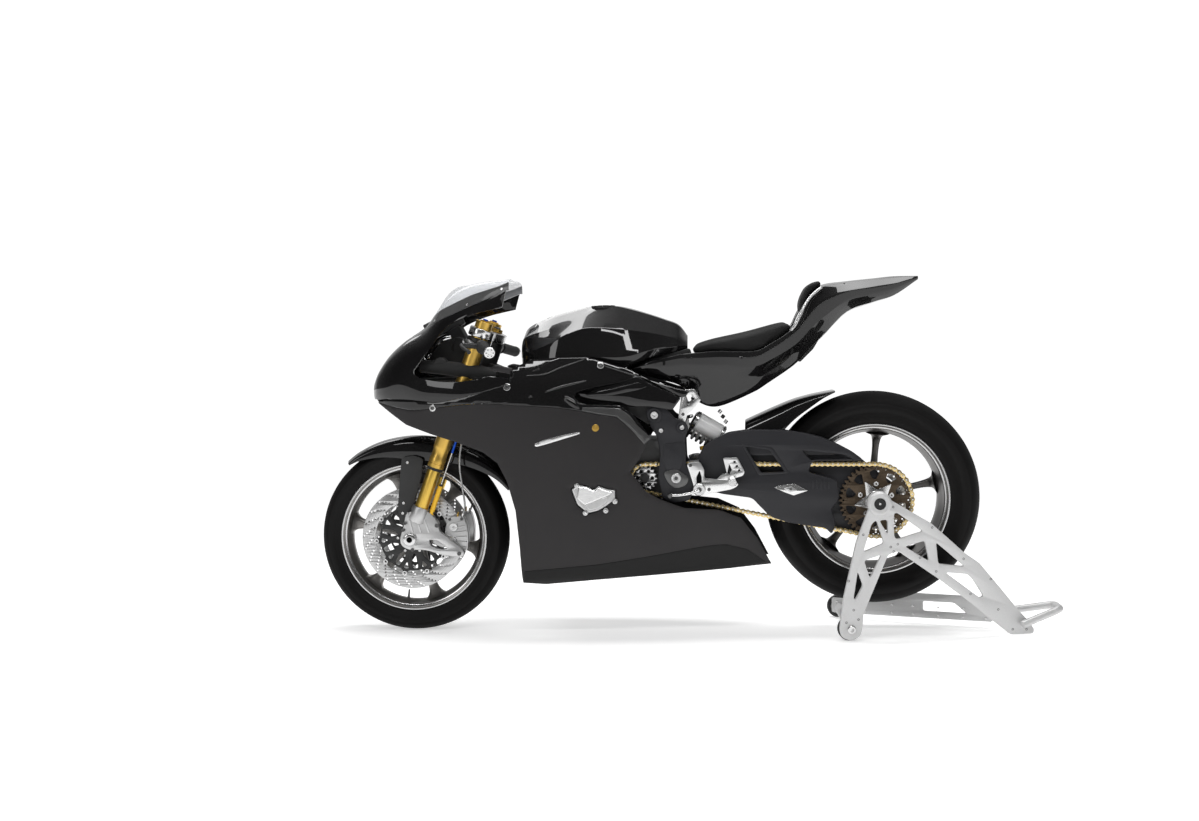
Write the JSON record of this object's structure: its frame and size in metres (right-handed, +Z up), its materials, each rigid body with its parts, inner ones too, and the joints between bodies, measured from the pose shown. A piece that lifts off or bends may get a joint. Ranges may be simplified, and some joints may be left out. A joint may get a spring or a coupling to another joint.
{
  "type": "sport motorcycle on a paddock stand",
  "caption": "Faired track sport motorcycle with a single-sided swingarm, held by a single-sided rear paddock stand, with turning wheels and steering.",
  "frame": {"origin": "on the floor under the middle of the whole object's box", "axes": "+X from the front wheel to the rear, +Y to the bike's right side, +Z up"},
  "size_m": [2.3299, 0.6668, 1.112],
  "materials": {
    "gloss_carbon": "clear-coated black carbon, glossy",
    "satin_carbon": "satin charcoal carbon with a faint weave",
    "clear_shield": "lightly smoked clear plastic",
    "frame_black": "satin black anodised and painted metal",
    "engine_metal": "cast alloy",
    "radiator_black": "black finned alloy",
    "exhaust_metal": "heat-tinted titanium",
    "silver_alloy": "machined and anodised silver alloy",
    "gold_anodised": "gold anodised tube",
    "black_alloy": "black anodised alloy",
    "rubber_black": "matt black rubber",
    "tyre_black": "slick tyre compound",
    "rim_grey": "titanium grey wheel paint with bright lips",
    "disc_steel": "ground steel with drilled holes",
    "chain_gold": "gold plated chain",
    "sprocket_bronze": "hard anodised bronze brown",
    "seat_foam": "matt black closed-cell foam",
    "shock_white": "satin white and silver",
    "stand_silver": "bead-blasted silver alloy"
  },
  "bodies": {
    "chassis": {"main_frame": "frame_black", "pivot_plates": "frame_black", "engine_block": "engine_metal", "radiator": "radiator_black", "exhaust": "exhaust_metal", "nose_fairing": "gloss_carbon", "windshield": "clear_shield", "side_fairing_left": "satin_carbon", "side_fairing_right": "satin_carbon", "belly_pan": "satin_carbon", "fuel_tank": "gloss_carbon", "seat_pad": "seat_foam", "tail_cowl": "gloss_carbon", "tail_brackets": "silver_alloy", "bum_stop": "seat_foam", "swingarm": "frame_black", "hugger": "gloss_carbon", "rear_shock": "shock_white", "rear_caliper": "black_alloy", "chain": "chain_gold", "front_sprocket": "sprocket_bronze", "rearsets": "silver_alloy", "stand_upright": "stand_silver", "stand_base": "stand_silver", "stand_handle": "stand_silver", "stand_spindle": "silver_alloy"},
    "steering": {"upper_clamp": "silver_alloy", "lower_clamp": "silver_alloy", "fork_outer_tubes": "gold_anodised", "fork_inner_tubes": "gold_anodised", "fork_feet": "silver_alloy", "front_axle": "black_alloy", "handlebars": "black_alloy", "grips": "rubber_black", "levers": "black_alloy", "front_calipers": "silver_alloy", "front_fender": "gloss_carbon"},
    "front_wheel": {"front_rim": "rim_grey", "front_tyre": "tyre_black", "front_discs": "disc_steel"},
    "rear_wheel": {"rear_rim": "rim_grey", "rear_tyre": "tyre_black", "rear_disc": "disc_steel", "rear_sprocket": "sprocket_bronze", "wheel_nut": "silver_alloy"},
    "roller_left": {"stand_roller_left": "rubber_black"},
    "roller_right": {"stand_roller_right": "rubber_black"}
  },
  "joints": [
    {"name": "steering_turn", "type": "hinge", "parent": "chassis", "child": "steering", "pos_m": [-0.83676, 0, 0.28989], "axis": [0.3371, 0, 0.9415], "range_deg": [-23, 23]},
    {"name": "front_wheel_spin", "type": "hinge", "parent": "steering", "child": "front_wheel", "pos_m": [-0.865, 0, 0.3], "axis": [0, 1, 0], "continuous": true},
    {"name": "rear_wheel_spin", "type": "hinge", "parent": "chassis", "child": "rear_wheel", "pos_m": [0.581, 0, 0.422], "axis": [0, 1, 0], "continuous": true},
    {"name": "roller_left_spin", "type": "hinge", "parent": "chassis", "child": "roller_left", "pos_m": [0.495, -0.183, 0.037], "axis": [0, 1, 0], "continuous": true},
    {"name": "roller_right_spin", "type": "hinge", "parent": "chassis", "child": "roller_right", "pos_m": [0.495, 0.23, 0.037], "axis": [0, 1, 0], "continuous": true}
  ]
}
